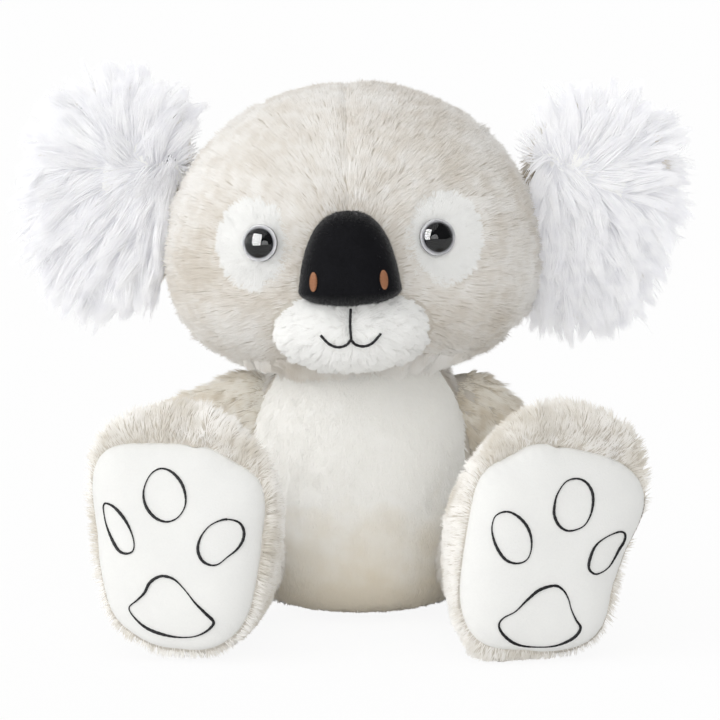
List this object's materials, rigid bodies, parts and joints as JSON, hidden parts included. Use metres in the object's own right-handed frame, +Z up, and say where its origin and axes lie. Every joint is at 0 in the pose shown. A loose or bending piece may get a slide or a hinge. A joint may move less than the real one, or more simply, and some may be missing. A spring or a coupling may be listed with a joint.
{
  "type": "plush koala",
  "caption": "Seated soft toy koala of pale grey plush with long-haired white ears, a black velour nose, safety eyes, and a head, ears, arms and legs that flop at their seams.",
  "frame": {"origin": "on the floor, in the middle of the flat seat under the body", "axes": "+Z up, the face towards -Y, +X towards the right of the picture"},
  "size_m": [0.3206, 0.2244, 0.2649],
  "materials": {
    "grey_plush": "pale beige-grey plush, 9 mm pile",
    "white_short_plush": "white short plush, 2 mm pile",
    "white_long_fur": "white long-pile fur, 30 mm clumped tufts",
    "polyester_fill": "loose white fibre",
    "bean_cloth": "plain woven cotton round pellets",
    "black_velour": "black velour, 1 mm pile",
    "brown_thread": "brown satin stitch",
    "black_thread": "black satin stitch",
    "clear_plastic": "clear glossy dome",
    "black_plastic": "black pupil with a grey rim",
    "white_plastic": "white locking washer"
  },
  "bodies": {
    "torso": {"body_cover": "grey_plush", "belly_panel": "white_short_plush", "body_stuffing": "polyester_fill", "seat_bean_bag": "bean_cloth"},
    "neck": {"neck_wad": "polyester_fill"},
    "head": {"head_cover_left": "grey_plush", "head_cover_right": "grey_plush", "head_stuffing": "polyester_fill", "muzzle_panel": "white_short_plush", "nose_cover": "black_velour", "mouth_embroidery": "black_thread", "eye_patch_left": "white_short_plush", "eye_dome_left": "clear_plastic", "eye_back_left": "black_plastic", "eye_washer_left": "white_plastic", "nostril_left": "brown_thread", "eye_patch_right": "white_short_plush", "eye_dome_right": "clear_plastic", "eye_back_right": "black_plastic", "eye_washer_right": "white_plastic", "nostril_right": "brown_thread"},
    "ear_left": {"ear_front_left": "white_long_fur", "ear_back_left": "grey_plush", "ear_wadding_left": "polyester_fill"},
    "arm_left": {"arm_cover_left": "grey_plush", "arm_stuffing_left": "polyester_fill"},
    "leg_left": {"leg_cover_left": "grey_plush", "leg_stuffing_left": "polyester_fill", "foot_sole_left": "white_short_plush", "toe_outline_middle_left": "black_thread", "toe_outline_outer_left": "black_thread", "toe_outline_inner_left": "black_thread", "pad_outline_left": "black_thread"},
    "ear_right": {"ear_front_right": "white_long_fur", "ear_back_right": "grey_plush", "ear_wadding_right": "polyester_fill"},
    "arm_right": {"arm_cover_right": "grey_plush", "arm_stuffing_right": "polyester_fill"},
    "leg_right": {"leg_cover_right": "grey_plush", "leg_stuffing_right": "polyester_fill", "foot_sole_right": "white_short_plush", "toe_outline_middle_right": "black_thread", "toe_outline_outer_right": "black_thread", "toe_outline_inner_right": "black_thread", "pad_outline_right": "black_thread"}
  },
  "joints": [
    {"name": "head_turn", "type": "hinge", "parent": "torso", "child": "neck", "pos_m": [0, -0.002, 0.086], "axis": [0, 0, 1], "range_deg": [-25, 25], "stiffness_Nm_per_rad": 1},
    {"name": "head_nod", "type": "hinge", "parent": "neck", "child": "head", "pos_m": [0, -0.002, 0.086], "axis": [1, 0, 0], "range_deg": [-8, 12], "stiffness_Nm_per_rad": 1.5},
    {"name": "ear_left_flop", "type": "hinge", "parent": "head", "child": "ear_left", "pos_m": [-0.09043, 0.00211, 0.20192], "axis": [0.1907, -0.0055, 0.9816], "range_deg": [-25, 25], "stiffness_Nm_per_rad": 0.15},
    {"name": "ear_right_flop", "type": "hinge", "parent": "head", "child": "ear_right", "pos_m": [0.08222, -0.00211, 0.20794], "axis": [-0.2588, 0.0055, 0.9659], "range_deg": [-25, 25], "stiffness_Nm_per_rad": 0.15},
    {"name": "arm_left_raise", "type": "hinge", "parent": "torso", "child": "arm_left", "pos_m": [-0.054, 0.006, 0.096], "axis": [0, 1, 0], "range_deg": [-3, 45], "stiffness_Nm_per_rad": 0.3},
    {"name": "arm_right_raise", "type": "hinge", "parent": "torso", "child": "arm_right", "pos_m": [0.054, 0.006, 0.096], "axis": [0, -1, 0], "range_deg": [-3, 45], "stiffness_Nm_per_rad": 0.3},
    {"name": "leg_left_lift", "type": "hinge", "parent": "torso", "child": "leg_left", "pos_m": [-0.063, -0.044, 0.031], "axis": [-1, 0, 0], "range_deg": [-35, 20], "stiffness_Nm_per_rad": 0.6},
    {"name": "leg_right_lift", "type": "hinge", "parent": "torso", "child": "leg_right", "pos_m": [0.063, -0.044, 0.031], "axis": [-1, 0, 0], "range_deg": [-35, 20], "stiffness_Nm_per_rad": 0.6}
  ]
}
